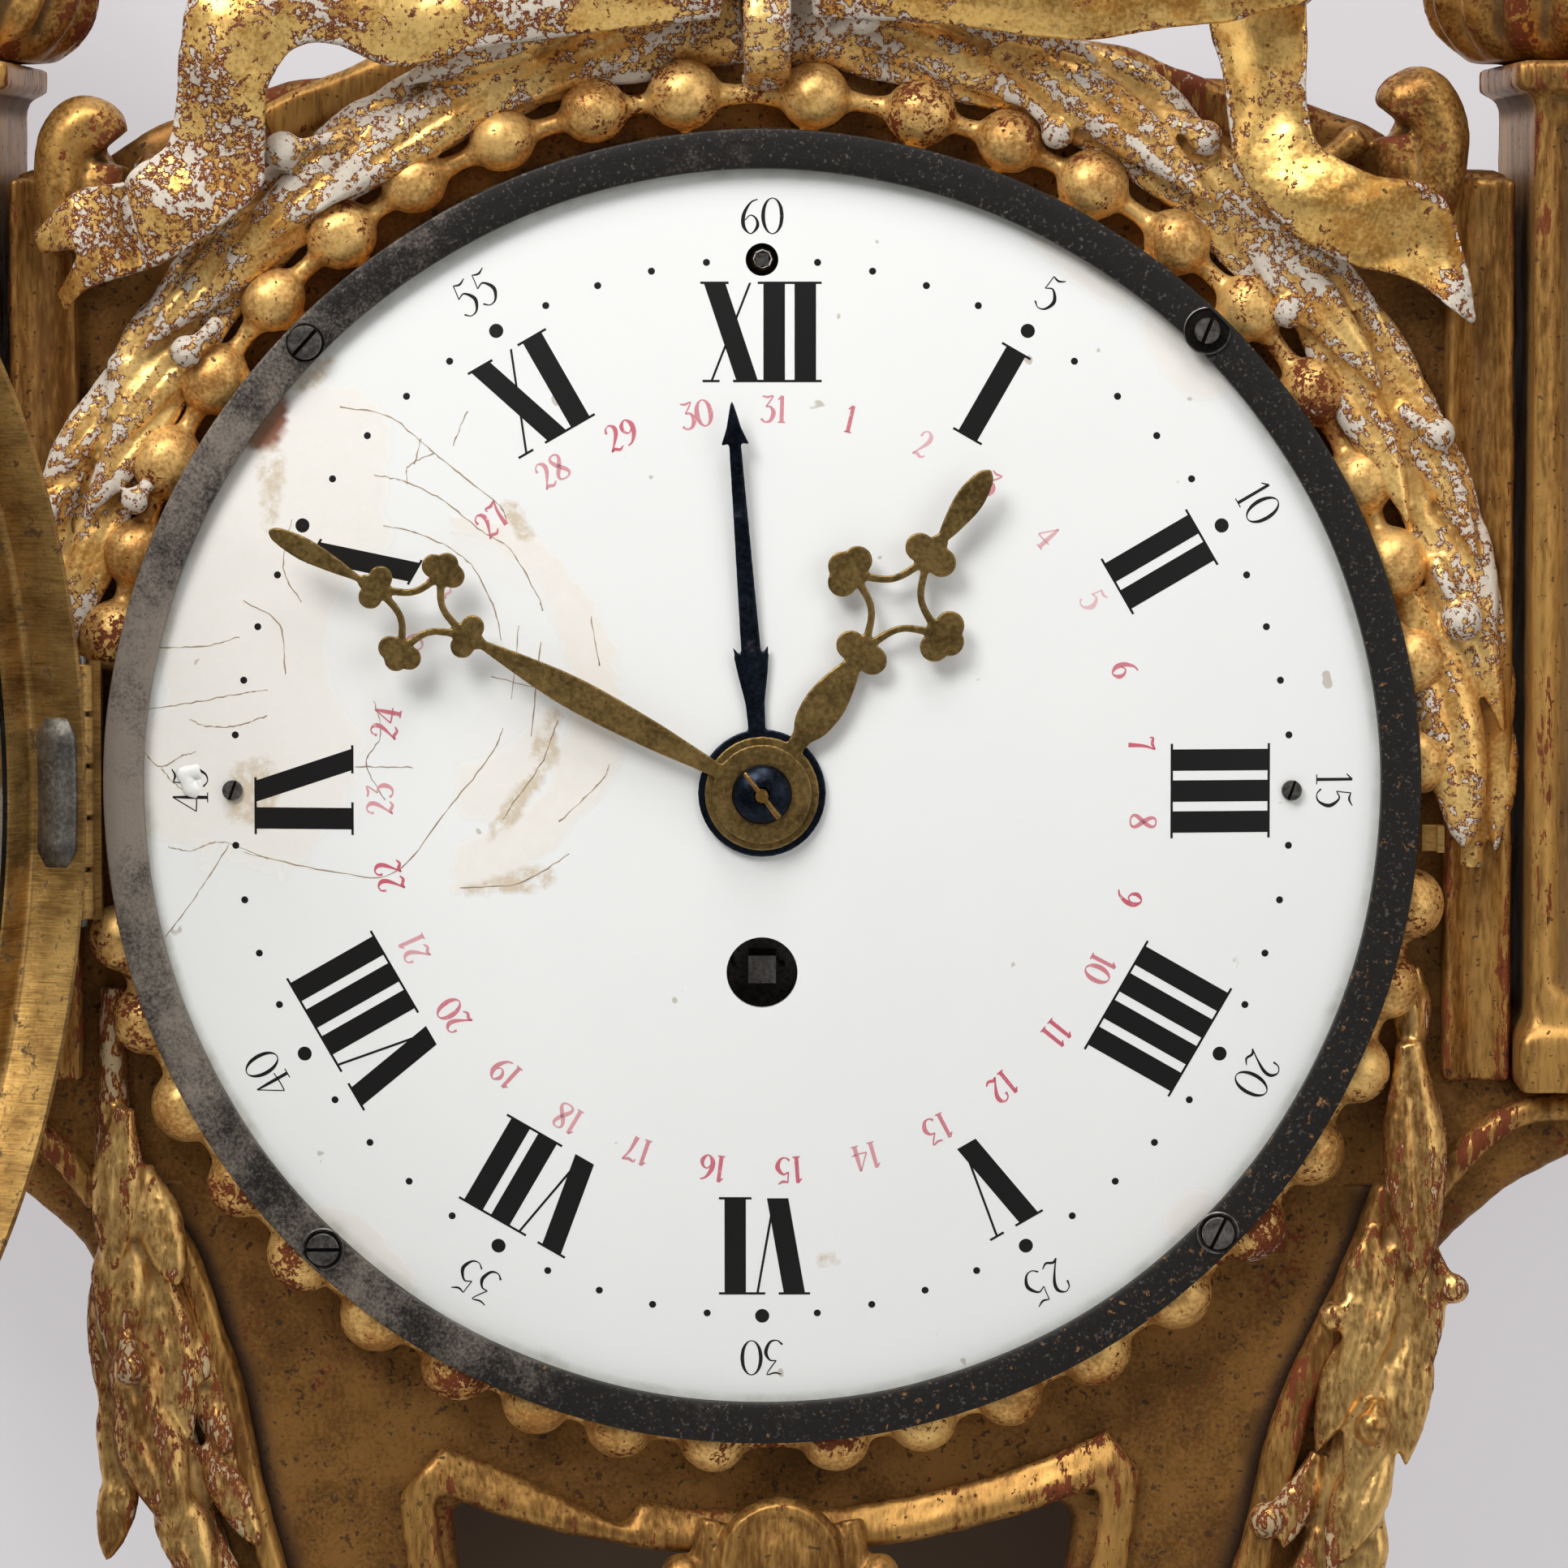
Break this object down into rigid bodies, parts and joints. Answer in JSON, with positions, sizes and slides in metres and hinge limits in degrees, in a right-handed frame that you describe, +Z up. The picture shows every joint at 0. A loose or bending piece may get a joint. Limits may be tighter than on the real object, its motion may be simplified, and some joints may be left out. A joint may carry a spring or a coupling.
{
  "type": "cartel wall clock",
  "caption": "Gilt carved cartel wall clock with a domed enamel dial, pierced hands, hinged glazed bezel, laurel garlands, fluted pilasters and a swinging pendulum.",
  "frame": {"origin": "on the flat back of the case, on its middle line, just below the hanging plate", "axes": "+X to the clock's right as seen from the front, +Y towards the wall, +Z up"},
  "size_m": [0.4242, 0.3016, 0.6176],
  "materials": {
    "gilt_wood": "worn gold leaf over bole and gesso",
    "dull_gilt_wood": "dull bronzed gilding",
    "iron": "worn dark iron",
    "enamel": "fired white enamel on copper",
    "brass": "aged",
    "blued_steel": "blued",
    "glass": "clear, domed",
    "silk": "twisted thread"
  },
  "bodies": {
    "case": {"back_plate": "brass", "bead_ring": "gilt_wood", "bezel_catch": "brass", "bottom_finial": "gilt_wood", "bow": "gilt_wood", "case_carcass": "dull_gilt_wood", "dial_plate": "enamel", "dial_ring": "iron", "dial_screw_left": "brass", "dial_screw_right": "brass", "front_plate": "brass", "garland_left": "gilt_wood", "garland_right": "gilt_wood", "hanging_plate": "iron", "hinge_leaf_case": "brass", "hinge_pin": "brass", "keystone_boss": "gilt_wood", "laurel_drop_left": "gilt_wood", "laurel_drop_right": "gilt_wood", "movement_seat": "iron", "pilaster_left": "gilt_wood", "pilaster_right": "gilt_wood", "ribbon_left": "gilt_wood", "ribbon_right": "gilt_wood", "ring_screw_1": "iron", "ring_screw_2": "iron", "ring_screw_3": "iron", "ring_screw_4": "iron", "scroll_left": "gilt_wood", "scroll_right": "gilt_wood", "suspension_cock": "brass", "suspension_silk": "silk", "urn_left": "gilt_wood", "urn_right": "gilt_wood", "window_moulding": "gilt_wood"},
    "bezel": {"bezel_ring": "brass", "bezel_glass": "glass", "hinge_leaf_bezel": "brass"},
    "centre": {"centre_wheel": "brass", "cannon_pinion": "blued_steel", "minute_hand": "brass", "hand_washer": "blued_steel", "hand_pin": "brass"},
    "hour": {"hour_wheel": "brass", "hour_hand": "brass"},
    "minute_work": {"minute_wheel": "brass"},
    "date_drive": {"date_drive_wheel": "brass"},
    "intermediate": {"intermediate_wheel": "brass"},
    "barrel": {"barrel": "brass"},
    "third": {"third_wheel": "brass"},
    "escape": {"escape_wheel": "brass"},
    "date": {"date_wheel": "brass", "date_hand": "blued_steel"},
    "winding": {"barrel_arbor": "blued_steel"},
    "click": {"click": "blued_steel"},
    "pendulum": {"pendulum": "brass"},
    "anchor": {"anchor": "blued_steel"},
    "regulator": {"regulator_arbor": "blued_steel"}
  },
  "joints": [
    {"name": "bezel_hinge", "type": "hinge", "parent": "case", "child": "bezel", "pos_m": [-0.1205, -0.0844, -0.1375], "axis": [0, 0, 1], "range_deg": [0, 115]},
    {"name": "centre_spin", "type": "hinge", "parent": "case", "child": "centre", "pos_m": [0, -0.06, -0.1375], "axis": [0, 1, 0], "continuous": true},
    {"name": "hour_spin", "type": "hinge", "parent": "case", "child": "hour", "pos_m": [0, -0.06, -0.1375], "axis": [0, 1, 0], "continuous": true},
    {"name": "minute_wheel_spin", "type": "hinge", "parent": "case", "child": "minute_work", "pos_m": [0.01455, -0.06, -0.1291], "axis": [0, 1, 0], "continuous": true},
    {"name": "date_drive_spin", "type": "hinge", "parent": "case", "child": "date_drive", "pos_m": [-0.02088, -0.06, -0.1375], "axis": [0, 1, 0], "continuous": true},
    {"name": "intermediate_spin", "type": "hinge", "parent": "case", "child": "intermediate", "pos_m": [0.02304, -0.06, -0.14938], "axis": [0, 1, 0], "continuous": true},
    {"name": "barrel_spin", "type": "hinge", "parent": "case", "child": "barrel", "pos_m": [0, -0.06, -0.1695], "axis": [0, 1, 0], "continuous": true},
    {"name": "third_spin", "type": "hinge", "parent": "case", "child": "third", "pos_m": [-0.01405, -0.06, -0.11743], "axis": [0, 1, 0], "continuous": true},
    {"name": "escape_spin", "type": "hinge", "parent": "case", "child": "escape", "pos_m": [0, -0.06, -0.10256], "axis": [0, 1, 0], "continuous": true},
    {"name": "date_spin", "type": "hinge", "parent": "case", "child": "date", "pos_m": [0, -0.06, -0.1375], "axis": [0, 1, 0], "continuous": true},
    {"name": "winding_spin", "type": "hinge", "parent": "case", "child": "winding", "pos_m": [0, -0.06, -0.1695], "axis": [0, 1, 0], "continuous": true},
    {"name": "click_pivot", "type": "hinge", "parent": "case", "child": "click", "pos_m": [0.013, -0.06, -0.1592], "axis": [0, 1, 0], "range_deg": [0, 12]},
    {"name": "pendulum_swing", "type": "hinge", "parent": "case", "child": "pendulum", "pos_m": [0, -0.016, -0.0755], "axis": [0, 1, 0], "range_deg": [-4, 4]},
    {"name": "anchor_swing", "type": "hinge", "parent": "case", "child": "anchor", "pos_m": [0, -0.06, -0.0755], "axis": [0, 1, 0], "range_deg": [-4, 4]},
    {"name": "regulator_turn", "type": "hinge", "parent": "case", "child": "regulator", "pos_m": [0, -0.06, -0.0435], "axis": [0, 1, 0], "range_deg": [-180, 180]}
  ],
  "couplings": [
    {"joint": "hour_spin", "follows": "centre_spin", "ratio": 0.083333},
    {"joint": "minute_wheel_spin", "follows": "centre_spin", "ratio": -0.33333},
    {"joint": "date_drive_spin", "follows": "centre_spin", "ratio": -0.041667},
    {"joint": "intermediate_spin", "follows": "centre_spin", "ratio": -0.125},
    {"joint": "barrel_spin", "follows": "centre_spin", "ratio": 0.015625},
    {"joint": "third_spin", "follows": "centre_spin", "ratio": -10.667},
    {"joint": "escape_spin", "follows": "centre_spin", "ratio": 106.67},
    {"joint": "anchor_swing", "follows": "pendulum_swing", "ratio": 1}
  ]
}
